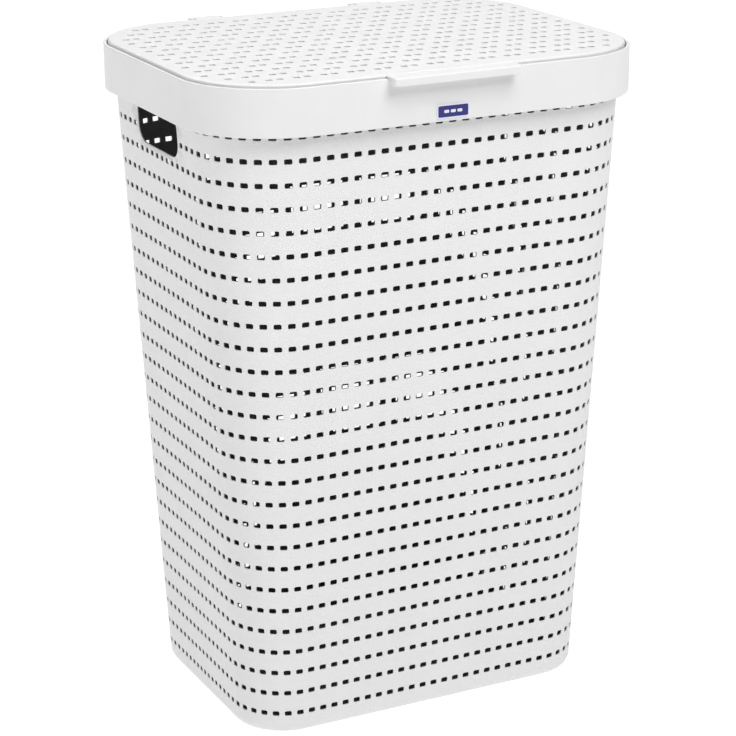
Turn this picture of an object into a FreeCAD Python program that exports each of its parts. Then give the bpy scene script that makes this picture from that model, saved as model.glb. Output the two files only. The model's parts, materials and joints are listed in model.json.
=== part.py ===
"""Laundry hamper with a hinged lid: a moulded basket, a collar snapped on its rim, and a flap hinged to the collar.

Frame: +Z up, front towards -Y, origin on the floor under the middle of the basket. Millimetres.
The basket and collar are rounded rectangles in plan, so one sketch helper draws nearly every outline.
"""

import FreeCAD, Part
import math
import os

import Sketcher

DIMENSIONS = {
    # collar: the tall smooth band round the top
    "collar_width": 408.0,
    "collar_depth": 316.0,
    "collar_corner": 82.0,
    "collar_wall": 2.4,
    "skirt_bottom": 535.0,
    "skirt_top": 574.5,
    "ledge_top": 567.2,
    "ledge_thick": 2.2,
    "ledge_inset": 14.8,
    "lip_bottom": 548.0,
    # basket: outer size at the foot line and at the rim
    "rim_width": 391.4,
    "rim_depth": 298.0,
    "rim_corner": 72.0,
    "rim_thick": 2.4,
    "rim_gap": 0.6,
    "base_width": 332.6,
    "base_depth": 232.6,
    "base_corner": 47.0,
    "basket_wall": 2.0,
    "foot_height": 6.0,
    "foot_inset": 3.0,
    "floor_thick": 3.0,
    # hand holes in the two short sides
    "grip_width": 87.0,
    "grip_bottom": 500.0,
    "grip_top": 538.0,
    "grip_corner": 14.0,
    # flap: the panel that opens
    "flap_top": 577.0,
    "flap_thick": 2.4,
    "flap_inset": 4.2,
    "flap_rim_wall": 2.4,
    "flap_rim_bottom": 567.6,
    "flap_round": 1.6,
    # finger tab at the front of the flap
    "tab_width": 116.0,
    "tab_reach": 171.0,
    "tab_thick": 2.1,
    "tab_lip": 2.6,
    "tab_bottom": 570.0,
    "tab_round": 1.4,
    # hinge behind the collar: two knuckles on the flap, each between two lugs
    "hinge_back": 162.4,
    "hinge_height": 573.0,
    "hinge_spacing": 160.0,
    "knuckle_width": 22.0,
    "knuckle_round": 4.0,
    "knuckle_gap": 0.4,
    "lug_thick": 4.0,
    "lug_round": 3.8,
    "pin_radius": 2.0,
    "pin_running": 0.06,
    "pin_seat": 0.01,
    "pin_chamfer": 0.4,
    # badge plate glued to the front of the collar
    "badge_width": 29.4,
    "badge_bottom": 537.6,
    "badge_top": 549.0,
    "badge_corner": 2.2,
    "badge_thick": 1.0,
}

# the finger tab and the hinge tongues start this far in, where the panel's rounded edge has ended
TAB_ROOT = "-(dims.collar_depth / 2 - dims.flap_inset - dims.flap_round - dims.tab_lip)"

doc = FreeCAD.newDocument("hamper")
sheet = doc.addObject("Spreadsheet::Sheet", "dims")
for row, (alias, number) in enumerate(DIMENSIONS.items(), start=1):
    sheet.set("A%d" % row, alias)
    sheet.set("B%d" % row, str(number))
    sheet.setAlias("B%d" % row, alias)
doc.recompute()


def evaluate(expression):
    """The number that an expression on the sheet gives now."""
    return float(sheet.evalExpression(expression.replace("dims.", "")))


def new_body(name):
    body = doc.addObject("PartDesign::Body", name)
    body.Label = name
    return body


def new_sketch(body, name, plane, offset="0"):
    """A sketch on one of the body's origin planes, moved along the plane's normal."""
    sketch = body.newObject("Sketcher::SketchObject", name)
    flat = next(f for f in body.Origin.OriginFeatures if f.Role == plane)
    sketch.AttachmentSupport = [(flat, "")]
    sketch.MapMode = "FlatFace"
    sketch.setExpression("AttachmentOffset.Base.z", offset)
    return sketch


def bind(sketch, kind, elements, expression):
    """Adds one driving dimension and binds it to an expression. A negative one is measured the other way."""
    number = evaluate(expression)
    if number < 0:
        elements = elements[2:] + elements[:2]
        expression = "-(%s)" % expression
    index = sketch.addConstraint(Sketcher.Constraint(kind, *elements, abs(number)))
    sketch.setExpression("Constraints[%d]" % index, expression)


def rounded_rectangle(sketch, half_width, low, high, corner):
    """A rounded rectangle, symmetric about the sketch's vertical axis, between two heights."""
    x, y0, y1, r = (evaluate(e) for e in (half_width, low, high, corner))
    centres = [(x - r, y1 - r), (-x + r, y1 - r), (-x + r, y0 + r), (x - r, y0 + r)]
    up = FreeCAD.Vector(0, 0, 1)
    arcs = []
    for turn, (cx, cy) in enumerate(centres):
        circle = Part.Circle(FreeCAD.Vector(cx, cy, 0), up, r)
        start = turn * math.pi / 2
        arcs.append(sketch.addGeometry(Part.ArcOfCircle(circle, start, start + math.pi / 2)))
    lines = []
    for turn, arc in enumerate(arcs):
        here = sketch.Geometry[arc].EndPoint
        there = sketch.Geometry[arcs[(turn + 1) % 4]].StartPoint
        lines.append(sketch.addGeometry(Part.LineSegment(here, there)))
    for turn in range(4):
        sketch.addConstraint(Sketcher.Constraint("Tangent", arcs[turn], 2, lines[turn], 1))
        sketch.addConstraint(Sketcher.Constraint("Tangent", lines[turn], 2, arcs[(turn + 1) % 4], 1))
    for turn in range(3):
        sketch.addConstraint(Sketcher.Constraint("Equal", arcs[turn], arcs[turn + 1]))
    top, left, bottom, right = lines
    for line in (top, bottom):
        sketch.addConstraint(Sketcher.Constraint("Horizontal", line))
    for line in (left, right):
        sketch.addConstraint(Sketcher.Constraint("Vertical", line))
    sketch.setExpression(
        "Constraints[%d]" % sketch.addConstraint(Sketcher.Constraint("Radius", arcs[0], r)), corner
    )
    bind(sketch, "DistanceX", (-1, 1, right, 1), half_width)
    bind(sketch, "DistanceX", (left, 1, -1, 1), half_width)
    bind(sketch, "DistanceY", (-1, 1, top, 1), high)
    bind(sketch, "DistanceY", (-1, 1, bottom, 1), low)


def plan(body, name, height, size, inset="0"):
    """A horizontal rounded rectangle at a height. size names the sheet's width, depth and corner."""
    sketch = new_sketch(body, name, "XY_Plane", height)
    half_depth = "dims.%s_depth / 2 - (%s)" % (size, inset)
    rounded_rectangle(
        sketch,
        "dims.%s_width / 2 - (%s)" % (size, inset),
        "-(%s)" % half_depth,
        half_depth,
        "dims.%s_corner - (%s)" % (size, inset),
    )
    return sketch


def extrude(body, name, kind, sketch, length, reverse=False):
    feature = body.newObject("PartDesign::" + kind, name)
    feature.Profile = sketch
    feature.setExpression("Length", length)
    feature.Reversed = reverse
    return feature


def cut_through(body, name, sketch):
    """A pocket through everything, both ways from its sketch."""
    pocket = body.newObject("PartDesign::Pocket", name)
    pocket.Profile = sketch
    pocket.Type = 1
    pocket.Midplane = True
    return pocket


def loft(body, name, kind, sketches):
    feature = body.newObject("PartDesign::" + kind, name)
    feature.Profile = sketches[0]
    feature.Sections = sketches[1:]
    feature.Ruled = True
    return feature


def edges_of(feature, wanted):
    """Names of the feature's edges whose bounding box passes a test."""
    doc.recompute()
    return ["Edge%d" % n for n, e in enumerate(feature.Shape.Edges, start=1) if wanted(e.BoundBox)]


def round_edges(body, name, feature, wanted, radius):
    fillet = body.newObject("PartDesign::Fillet", name)
    fillet.Base = (feature, edges_of(feature, wanted))
    fillet.setExpression("Radius", radius)
    return fillet


def circle_sketch(body, name, radius):
    """A circle about the hinge axis, on the plane across it."""
    sketch = new_sketch(body, name, "YZ_Plane")
    centre = FreeCAD.Vector(evaluate("dims.hinge_back"), evaluate("dims.hinge_height"), 0)
    size = evaluate(radius)
    circle = sketch.addGeometry(Part.Circle(centre, FreeCAD.Vector(0, 0, 1), size))
    bind(sketch, "DistanceX", (-1, 1, circle, 3), "dims.hinge_back")
    bind(sketch, "DistanceY", (-1, 1, circle, 3), "dims.hinge_height")
    sketch.setExpression(
        "Constraints[%d]" % sketch.addConstraint(Sketcher.Constraint("Radius", circle, size)), radius
    )
    return sketch


def mirrored(body, name, features):
    """Repeats features on the other side of the middle plane."""
    feature = body.newObject("PartDesign::Mirrored", name)
    feature.Originals = features
    middle = next(f for f in body.Origin.OriginFeatures if f.Role == "YZ_Plane")
    feature.MirrorPlane = (middle, [""])
    body.Tip = feature
    return feature


def make_basket():
    """One moulding: tapered wall, floor, outward rim and two hand holes."""
    body = new_body("basket")
    foot = plan(body, "foot_outline", "0", "base", "dims.foot_inset")
    base = plan(body, "base_outline", "dims.foot_height", "base")
    rim = plan(body, "rim_outline", "dims.ledge_top - dims.ledge_thick", "rim")
    loft(body, "outer_wall", "AdditiveLoft", [foot, base, rim])

    flange = plan(
        body,
        "flange_outline",
        "dims.ledge_top - dims.ledge_thick",
        "collar",
        "dims.collar_wall + dims.rim_gap",
    )
    extrude(body, "rim_flange", "Pad", flange, "dims.rim_thick", reverse=True)

    wall = "dims.basket_wall"
    floor = plan(body, "cavity_floor", "dims.floor_thick", "base", wall + " + dims.foot_inset / 2")
    knee = plan(body, "cavity_knee", "dims.foot_height", "base", wall)
    mouth = plan(body, "cavity_mouth", "dims.ledge_top - dims.ledge_thick", "rim", wall)
    loft(body, "cavity", "SubtractiveLoft", [floor, knee, mouth])

    hole = new_sketch(body, "grip_outline", "YZ_Plane")
    rounded_rectangle(
        hole, "dims.grip_width / 2", "dims.grip_bottom", "dims.grip_top", "dims.grip_corner"
    )
    cut_through(body, "grip_holes", hole)
    return body


def lug_sketch(body, name, offset):
    """Side view of a hinge lug: round about the pin, with a sloping web down to the collar."""
    sketch = new_sketch(body, name, "YZ_Plane", offset)
    root = evaluate("dims.collar_depth / 2 - dims.collar_wall / 2")
    y, z, r = (evaluate("dims." + d) for d in ("hinge_back", "hinge_height", "lug_round"))
    slope = math.radians(45)
    low = FreeCAD.Vector(y + r * math.cos(slope), z - r * math.sin(slope), 0)
    toe = FreeCAD.Vector(root, low.y - (low.x - root), 0)
    crown = FreeCAD.Vector(y, z + r, 0)
    heel = FreeCAD.Vector(root, z + r, 0)
    round_end = Part.Circle(FreeCAD.Vector(y, z, 0), FreeCAD.Vector(0, 0, 1), r)
    web = sketch.addGeometry(Part.LineSegment(toe, low))
    arc = sketch.addGeometry(Part.ArcOfCircle(round_end, -slope, math.pi / 2))
    top = sketch.addGeometry(Part.LineSegment(crown, heel))
    back = sketch.addGeometry(Part.LineSegment(heel, toe))
    sketch.addConstraint(Sketcher.Constraint("Tangent", web, 2, arc, 1))
    sketch.addConstraint(Sketcher.Constraint("Tangent", arc, 2, top, 1))
    sketch.addConstraint(Sketcher.Constraint("Coincident", top, 2, back, 1))
    sketch.addConstraint(Sketcher.Constraint("Coincident", back, 2, web, 1))
    sketch.addConstraint(Sketcher.Constraint("Horizontal", top))
    sketch.addConstraint(Sketcher.Constraint("Vertical", back))
    sketch.addConstraint(Sketcher.Constraint("Angle", web, slope))
    sketch.setExpression(
        "Constraints[%d]" % sketch.addConstraint(Sketcher.Constraint("Radius", arc, r)), "dims.lug_round"
    )
    bind(sketch, "DistanceX", (-1, 1, arc, 3), "dims.hinge_back")
    bind(sketch, "DistanceY", (-1, 1, arc, 3), "dims.hinge_height")
    bind(sketch, "DistanceX", (-1, 1, back, 1), "dims.collar_depth / 2 - dims.collar_wall / 2")
    return sketch


def make_collar():
    """The tall band: skirt outside the basket, ledge under the flap, lip inside the basket, hinge lugs."""
    body = new_body("lid_collar")
    wall = "dims.collar_wall"
    underside = "dims.ledge_top - dims.ledge_thick"
    block = plan(body, "band_outline", "dims.skirt_bottom", "collar")
    band = extrude(body, "band", "Pad", block, "dims.skirt_top - dims.skirt_bottom")
    rim_edges = lambda box: box.ZMin > evaluate("dims.skirt_top") - 0.01
    round_edges(body, "band_round", band, rim_edges, "dims.collar_wall / 3")

    seat = plan(body, "seat_outline", "dims.skirt_top", "collar", wall)
    extrude(body, "seat", "Pocket", seat, "dims.skirt_top - dims.ledge_top")
    hollow = plan(body, "hollow_outline", "dims.skirt_bottom", "collar", wall)
    extrude(body, "hollow", "Pocket", hollow, underside + " - dims.skirt_bottom", reverse=True)
    lip = plan(body, "lip_outline", "dims.lip_bottom", "collar", "dims.ledge_inset - " + wall)
    extrude(body, "lip", "Pad", lip, underside + " - dims.lip_bottom")
    mouth = plan(body, "mouth_outline", "dims.skirt_top", "collar", "dims.ledge_inset")
    cut_through(body, "mouth", mouth)

    near = "dims.hinge_spacing / 2 - dims.knuckle_width / 2 - dims.knuckle_gap - dims.lug_thick"
    far = "dims.hinge_spacing / 2 + dims.knuckle_width / 2 + dims.knuckle_gap"
    lugs = []
    for name, offset in (("lug_near", near), ("lug_far", far)):
        sketch = lug_sketch(body, name + "_outline", offset)
        lugs.append(extrude(body, name, "Pad", sketch, "dims.lug_thick"))
    mirrored(body, "lugs", lugs)
    bore = circle_sketch(body, "pin_seat_outline", "dims.pin_radius + dims.pin_seat")
    cut_through(body, "pin_seats", bore)
    return body


def tongue_sketch(body, name, offset):
    """Side view of a hinge tongue: a strip over the collar's back edge that ends in a round knuckle."""
    sketch = new_sketch(body, name, "YZ_Plane", offset)
    y, z, r = (evaluate("dims." + d) for d in ("hinge_back", "hinge_height", "knuckle_round"))
    root = evaluate("dims.collar_depth / 2 - dims.flap_inset - dims.knuckle_round")
    under = evaluate("dims.flap_top - dims.tab_thick")
    throat = math.pi - math.asin((under - z) / r)
    circle = Part.Circle(FreeCAD.Vector(y, z, 0), FreeCAD.Vector(0, 0, 1), r)
    arc = sketch.addGeometry(Part.ArcOfCircle(circle, throat - 2 * math.pi, math.pi / 2))
    crown = FreeCAD.Vector(y, z + r, 0)
    nape = FreeCAD.Vector(y + r * math.cos(throat), under, 0)
    top = sketch.addGeometry(Part.LineSegment(crown, FreeCAD.Vector(root, z + r, 0)))
    end = sketch.addGeometry(
        Part.LineSegment(FreeCAD.Vector(root, z + r, 0), FreeCAD.Vector(root, under, 0))
    )
    low = sketch.addGeometry(Part.LineSegment(FreeCAD.Vector(root, under, 0), nape))
    sketch.addConstraint(Sketcher.Constraint("Tangent", arc, 2, top, 1))
    sketch.addConstraint(Sketcher.Constraint("Coincident", top, 2, end, 1))
    sketch.addConstraint(Sketcher.Constraint("Coincident", end, 2, low, 1))
    sketch.addConstraint(Sketcher.Constraint("Coincident", low, 2, arc, 1))
    sketch.addConstraint(Sketcher.Constraint("Horizontal", top))
    sketch.addConstraint(Sketcher.Constraint("Vertical", end))
    sketch.addConstraint(Sketcher.Constraint("Horizontal", low))
    sketch.setExpression(
        "Constraints[%d]" % sketch.addConstraint(Sketcher.Constraint("Radius", arc, r)),
        "dims.knuckle_round",
    )
    bind(sketch, "DistanceX", (-1, 1, arc, 3), "dims.hinge_back")
    bind(sketch, "DistanceY", (-1, 1, arc, 3), "dims.hinge_height")
    bind(
        sketch,
        "DistanceX",
        (-1, 1, end, 1),
        "dims.collar_depth / 2 - dims.flap_inset - dims.knuckle_round",
    )
    bind(sketch, "DistanceY", (-1, 1, end, 2), "dims.flap_top - dims.tab_thick")
    return sketch


def tab_sketch(body):
    """Side view of the finger tab: a strip over the collar's front edge with a turned-down lip."""
    sketch = new_sketch(body, "tab_outline", "YZ_Plane")
    root, reach, inner, top, under, low, r = (
        evaluate(e)
        for e in (
            TAB_ROOT,
            "-dims.tab_reach",
            "-dims.tab_reach + dims.tab_lip",
            "dims.flap_top",
            "dims.flap_top - dims.tab_thick",
            "dims.tab_bottom",
            "dims.tab_round",
        )
    )
    brow = Part.Circle(FreeCAD.Vector(reach + r, top - r, 0), FreeCAD.Vector(0, 0, 1), r)
    arc = sketch.addGeometry(Part.ArcOfCircle(brow, math.pi / 2, math.pi))
    corners = [(reach, top - r), (reach, low), (inner, low), (inner, under), (root, under), (root, top)]
    corners.append((reach + r, top))
    points = [FreeCAD.Vector(y, z, 0) for y, z in corners]
    lines = [sketch.addGeometry(Part.LineSegment(p, q)) for p, q in zip(points, points[1:])]
    front, foot, inside, underside, end, crest = lines
    for here, there in zip(lines, lines[1:]):
        sketch.addConstraint(Sketcher.Constraint("Coincident", here, 2, there, 1))
    sketch.addConstraint(Sketcher.Constraint("Tangent", crest, 2, arc, 1))
    sketch.addConstraint(Sketcher.Constraint("Tangent", arc, 2, front, 1))
    for line in (front, inside, end):
        sketch.addConstraint(Sketcher.Constraint("Vertical", line))
    for line in (foot, underside, crest):
        sketch.addConstraint(Sketcher.Constraint("Horizontal", line))
    sketch.setExpression(
        "Constraints[%d]" % sketch.addConstraint(Sketcher.Constraint("Radius", arc, r)), "dims.tab_round"
    )
    bind(sketch, "DistanceX", (-1, 1, front, 1), "-dims.tab_reach")
    bind(sketch, "DistanceX", (-1, 1, inside, 1), "-dims.tab_reach + dims.tab_lip")
    bind(sketch, "DistanceX", (-1, 1, end, 1), TAB_ROOT)
    bind(sketch, "DistanceY", (-1, 1, crest, 1), "dims.flap_top")
    bind(sketch, "DistanceY", (-1, 1, underside, 1), "dims.flap_top - dims.tab_thick")
    bind(sketch, "DistanceY", (-1, 1, foot, 1), "dims.tab_bottom")
    return sketch


def make_flap():
    """The panel: a plate with a turned-down rim, a finger tab in front and two hinge knuckles behind."""
    body = new_body("lid_flap")
    panel = plan(body, "panel_outline", "dims.flap_top - dims.flap_thick", "collar", "dims.flap_inset")
    plate = extrude(body, "plate", "Pad", panel, "dims.flap_thick")
    top_edges = lambda box: box.ZMin > evaluate("dims.flap_top") - 0.01
    round_edges(body, "plate_round", plate, top_edges, "dims.flap_round")
    rim = plan(body, "rim_outside", "dims.flap_top - dims.flap_thick", "collar", "dims.flap_inset")
    height = "dims.flap_top - dims.flap_thick - dims.flap_rim_bottom"
    extrude(body, "rim", "Pad", rim, height, reverse=True)
    inset = "dims.flap_inset + dims.flap_rim_wall"
    inside = plan(body, "rim_inside", "dims.flap_rim_bottom", "collar", inset)
    extrude(body, "rim_hollow", "Pocket", inside, height, reverse=True)

    tab = extrude(body, "tab", "Pad", tab_sketch(body), "dims.tab_width")
    tab.Midplane = True

    offset = "dims.hinge_spacing / 2 - dims.knuckle_width / 2"
    sketch = tongue_sketch(body, "tongue_outline", offset)
    tongue = extrude(body, "tongue", "Pad", sketch, "dims.knuckle_width")
    mirrored(body, "tongues", [tongue])
    bore = circle_sketch(body, "knuckle_bore_outline", "dims.pin_radius + dims.pin_running")
    cut_through(body, "knuckle_bores", bore)
    return body


def make_pin(name, side):
    """A plain steel pin through two lugs and the knuckle between them. side is -1 or 1 along X."""
    body = new_body(name)
    length = "dims.knuckle_width + 2 * dims.knuckle_gap + 2 * dims.lug_thick"
    sketch = circle_sketch(body, name + "_outline", "dims.pin_radius")
    start = "%d * dims.hinge_spacing / 2 - (%s) / 2" % (side, length)
    sketch.setExpression("AttachmentOffset.Base.z", start)
    rod = extrude(body, name + "_rod", "Pad", sketch, length)
    doc.recompute()
    chamfer = body.newObject("PartDesign::Chamfer", name + "_ends")
    chamfer.Base = (rod, edges_of(rod, lambda box: box.XLength < 0.01))
    chamfer.setExpression("Size", "dims.pin_chamfer")
    return body


def make_badge():
    """A plain rounded plate on the front of the collar."""
    body = new_body("badge")
    sketch = new_sketch(body, "badge_outline", "XZ_Plane", "dims.collar_depth / 2")
    rounded_rectangle(
        sketch, "dims.badge_width / 2", "dims.badge_bottom", "dims.badge_top", "dims.badge_corner"
    )
    extrude(body, "badge_plate", "Pad", sketch, "dims.badge_thick")
    return body


bodies = [
    make_basket(),
    make_collar(),
    make_flap(),
    make_pin("hinge_pin_left", -1),
    make_pin("hinge_pin_right", 1),
    make_badge(),
]
doc.recompute()

for item in doc.Objects:
    if "Invalid" in item.State or "Error" in item.State:
        raise RuntimeError("%s did not compute: %s" % (item.Name, item.State))
for body in bodies:
    if body.Shape.isNull() or not body.Shape.isValid():
        raise RuntimeError("%s has no valid shape" % body.Label)
    if len(body.Shape.Solids) != 1:
        raise RuntimeError("%s is %d solids, not one" % (body.Label, len(body.Shape.Solids)))

os.makedirs("parts", exist_ok=True)
for body in bodies:
    body.Shape.exportStep("parts/%s.step" % body.Label)
    box = body.Shape.BoundBox
    print(
        "%-16s %8.1f cm3   x %.1f..%.1f  y %.1f..%.1f  z %.1f..%.1f"
        % (body.Label, body.Shape.Volume / 1000, box.XMin, box.XMax, box.YMin, box.YMax, box.ZMin, box.ZMax)
    )
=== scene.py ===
"""Looks of the laundry hamper: a vented white basket, a smooth collar and a perforated flap.

Lengths are in millimetres until Shell.build and solid_piece turn them into metres.
"""

import json
import math

import bmesh
import bpy
from mathutils import Matrix, Vector
from mathutils.geometry import delaunay_2d_cdt


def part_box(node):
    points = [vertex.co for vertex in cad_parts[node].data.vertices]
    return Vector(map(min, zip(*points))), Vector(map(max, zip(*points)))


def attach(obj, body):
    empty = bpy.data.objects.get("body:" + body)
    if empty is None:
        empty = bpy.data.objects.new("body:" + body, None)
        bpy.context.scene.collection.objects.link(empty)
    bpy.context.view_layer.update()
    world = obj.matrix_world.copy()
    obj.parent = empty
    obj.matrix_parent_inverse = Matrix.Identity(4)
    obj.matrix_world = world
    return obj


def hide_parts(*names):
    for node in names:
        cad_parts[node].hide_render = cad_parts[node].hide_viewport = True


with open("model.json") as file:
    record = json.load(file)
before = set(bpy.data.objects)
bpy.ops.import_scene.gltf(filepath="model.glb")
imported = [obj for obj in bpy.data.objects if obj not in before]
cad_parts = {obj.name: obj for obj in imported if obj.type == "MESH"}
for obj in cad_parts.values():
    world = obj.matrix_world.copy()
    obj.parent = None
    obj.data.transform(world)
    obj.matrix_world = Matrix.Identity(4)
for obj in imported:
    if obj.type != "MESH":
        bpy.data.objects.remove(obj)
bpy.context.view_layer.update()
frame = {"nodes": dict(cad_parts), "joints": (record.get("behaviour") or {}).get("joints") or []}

MM = 0.001
QUARTER_TURN = math.pi / 2


def node_box(node):
    """A CAD node's lowest and highest corners, in millimetres."""
    low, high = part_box(node)
    return [c / MM for c in low], [c / MM for c in high]


COLLAR_LOW, COLLAR_HIGH = node_box("lid_collar")
FLAP_LOW, FLAP_HIGH = node_box("lid_flap")
BADGE_LOW, BADGE_HIGH = node_box("badge")
BASKET_HIGH = node_box("basket")[1]
HINGE = [c / MM for c in frame["joints"][0]["pos_m"]]

# ---------------------------------------------------------------- meshes


class Shell:
    """Collects points and faces. Each face corner has its own normal, so curves shade smoothly."""

    def __init__(self):
        self.points = []
        self.faces = []
        self.normals = []
        self.weave = []
        self.known = {}

    def point(self, key, make):
        """The index of the point with that key. make() gives its place and its weave place."""
        if key not in self.known:
            place, cloth = make()
            self.known[key] = len(self.points)
            self.points.append(place)
            self.weave.append(cloth)
        return self.known[key]

    def face(self, corners, normals):
        self.faces.append(corners)
        self.normals.extend(normals)

    def build(self, name, material, body):
        mesh = bpy.data.meshes.new(name)
        mesh.from_pydata([[c * MM for c in p] for p in self.points], [], self.faces)
        mesh.polygons.foreach_set("use_smooth", [True] * len(mesh.polygons))
        cloth = mesh.attributes.new("weave", "FLOAT_VECTOR", "POINT")
        cloth.data.foreach_set("vector", [c * MM for w in self.weave for c in w])
        mesh.normals_split_custom_set([Vector(n).normalized() for n in self.normals])
        mesh.materials.append(material)
        piece = bpy.data.objects.new(name, mesh)
        bpy.context.scene.collection.objects.link(piece)
        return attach(piece, body)


def rounded_outline(half_x, half_y, corner, steps):
    """Points and outward normals round a rounded rectangle, anticlockwise from its right side."""
    ring = []
    for turn, (sx, sy) in enumerate([(1, 1), (-1, 1), (-1, -1), (1, -1)]):
        for step in range(steps + 1):
            angle = (turn + step / steps) * QUARTER_TURN
            nx, ny = math.cos(angle), math.sin(angle)
            place = (sx * (half_x - corner) + corner * nx, sy * (half_y - corner) + corner * ny)
            ring.append((place, (nx, ny)))
    return ring


def rounded_profile(corners, steps, closed=True):
    """Points and normals along a polyline with rounded corners. The solid is on its right."""
    path = []
    count = len(corners)
    for index, (x, z, radius) in enumerate(corners):
        if not closed and index in (0, count - 1):
            other = corners[1] if index == 0 else corners[-2]
            along = (other[0] - x, other[1] - z) if index == 0 else (x - other[0], z - other[1])
            size = math.hypot(*along)
            path.append(((x, z), (-along[1] / size, along[0] / size)))
            continue
        before, after = corners[index - 1], corners[(index + 1) % count]
        a = Vector((before[0] - x, before[1] - z)).normalized()
        b = Vector((after[0] - x, after[1] - z)).normalized()
        half = a.angle(b) / 2
        middle = Vector((x, z)) + (a + b).normalized() * (radius / math.sin(half))
        outward = 1 if a.x * b.y - a.y * b.x > 0 else -1
        first = Vector((x, z)) + a * (radius / math.tan(half)) - middle
        last = Vector((x, z)) + b * (radius / math.tan(half)) - middle
        sweep = first.angle_signed(last)
        for step in range(steps + 1):
            spoke = Matrix.Rotation(-sweep * step / steps, 2) @ first
            place = middle + spoke
            normal = spoke.normalized() * outward
            path.append(((place.x, place.y), (normal.x, normal.y)))
    return path


def sweep(shell, tag, half_x, half_y, corner, path, steps, closed=True):
    """Sweeps a profile round a rounded rectangle. The profile's x is the inset from the outline."""
    stations = len(rounded_outline(half_x, half_y, corner, steps))
    rows = []
    for j, ((inset, z), (out, up)) in enumerate(path):
        row = []
        ring = rounded_outline(half_x - inset, half_y - inset, corner - inset, steps)
        for i, ((x, y), (nx, ny)) in enumerate(ring):
            index = shell.point((tag, j, i), lambda: ((x, y, z), (x, y, z)))
            row.append((index, (-out * nx, -out * ny, up)))
        rows.append(row)
    pairs = list(zip(rows, rows[1:]))
    if closed:
        pairs.append((rows[-1], rows[0]))
    for lower, upper in pairs:
        for i in range(stations):
            k = (i + 1) % stations
            quad = [lower[i], lower[k], upper[k], upper[i]]
            shell.face([q[0] for q in quad], [q[1] for q in quad])
    return rows


def triangles(outlines):
    """Triangles between an outer loop and the convex holes in it.

    They are indices into the joined loops. A triangle with all its corners on one hole fills
    that hole, so it is left out.
    """
    points, edges, owner = [], [], []
    for number, loop in enumerate(outlines):
        first = len(points)
        points.extend(Vector(p) for p in loop)
        owner.extend([number] * len(loop))
        edges.extend((first + i, first + (i + 1) % len(loop)) for i in range(len(loop)))
    places, _, faces, origins, _, _ = delaunay_2d_cdt(points, edges, [], 1, 1e-6)
    if len(places) != len(points):
        raise RuntimeError("the loops cross or touch")
    turned = []
    for face in faces:
        a, b, c = (places[i] for i in face)
        if (b - a).cross(c - a) < 0:
            face = face[::-1]
        corners = [origins[i][0] for i in face]
        loops = {owner[i] for i in corners}
        if len(loops) > 1 or loops == {0}:
            turned.append(corners)
    return turned


def solid_piece(name, bm, material, body, smooth_under=50):
    """Makes a piece from a bmesh in millimetres. Its flat faces stay flat between rounded edges."""
    bmesh.ops.recalc_face_normals(bm, faces=bm.faces)
    bmesh.ops.scale(bm, vec=(MM, MM, MM), verts=bm.verts)
    mesh = bpy.data.meshes.new(name)
    bm.to_mesh(mesh)
    bm.free()
    mesh.polygons.foreach_set("use_smooth", [True] * len(mesh.polygons))
    mesh.set_sharp_from_angle(angle=math.radians(smooth_under))
    cloth = mesh.attributes.new("weave", "FLOAT_VECTOR", "POINT")
    cloth.data.foreach_set("vector", [c for v in mesh.vertices for c in v.co])
    mesh.materials.append(material)
    piece = bpy.data.objects.new(name, mesh)
    bpy.context.scene.collection.objects.link(piece)
    weighted = piece.modifiers.new("flat_faces", "WEIGHTED_NORMAL")
    weighted.keep_sharp = True
    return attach(piece, body)


def inset_loop(loop, by):
    """Moves a closed loop to the right of its direction."""
    moved = []
    for i, (x, y) in enumerate(loop):
        here = Vector((x, y))
        before = (here - Vector(loop[i - 1])).normalized()
        after = (Vector(loop[(i + 1) % len(loop)]) - here).normalized()
        right = Vector((before.y, -before.x)), Vector((after.y, -after.x))
        place = here + (right[0] + right[1]) * (by / (1 + right[0].dot(right[1])))
        moved.append((place.x, place.y))
    return moved


def side_solid(bm, shape, x0, x1, edge, between=()):
    """Adds a solid along X with rounded ends.

    shape(x) is its side view there: a clockwise outline, then holes anticlockwise.
    """
    turns = [QUARTER_TURN * n / 3 for n in range(4)]
    rounds = [(edge * (1 - math.cos(t)), edge * (1 - math.sin(t))) for t in turns]
    stations = [(x0 + along, inset) for along, inset in rounds]
    stations += [(x, 0.0) for x in between if x0 + edge < x < x1 - edge]
    stations += [(x1 - along, inset) for along, inset in reversed(rounds)]
    sections = []
    for x, inset in stations:
        loops = [inset_loop(loop, inset) for loop in shape(x)]
        sections.append([[bm.verts.new((x, y, z)) for y, z in loop] for loop in loops])
    for near, far in zip(sections, sections[1:]):
        for a, b in zip(near, far):
            for i in range(len(a)):
                k = (i + 1) % len(a)
                bm.faces.new([a[i], a[k], b[k], b[i]])
    for section in (sections[0], sections[-1]):
        joined = [v for loop in section for v in loop]
        for tri in triangles([[(v.co.y, v.co.z) for v in loop] for loop in section]):
            bm.faces.new([joined[i] for i in tri])


def bevel(bm, wanted, offset, segments):
    """Rounds the edges that wanted(edge) picks."""
    edges = [e for e in bm.edges if len(e.link_faces) == 2 and wanted(e)]
    bmesh.ops.bevel(
        bm,
        geom=edges,
        offset=offset,
        segments=segments,
        profile=0.5,
        affect="EDGES",
        clamp_overlap=True,
    )


# ---------------------------------------------------------------- materials


def node_material(name):
    material = bpy.data.materials.new(name)
    material.use_nodes = True
    tree = material.node_tree
    return material, tree, tree.nodes["Principled BSDF"]


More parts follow.
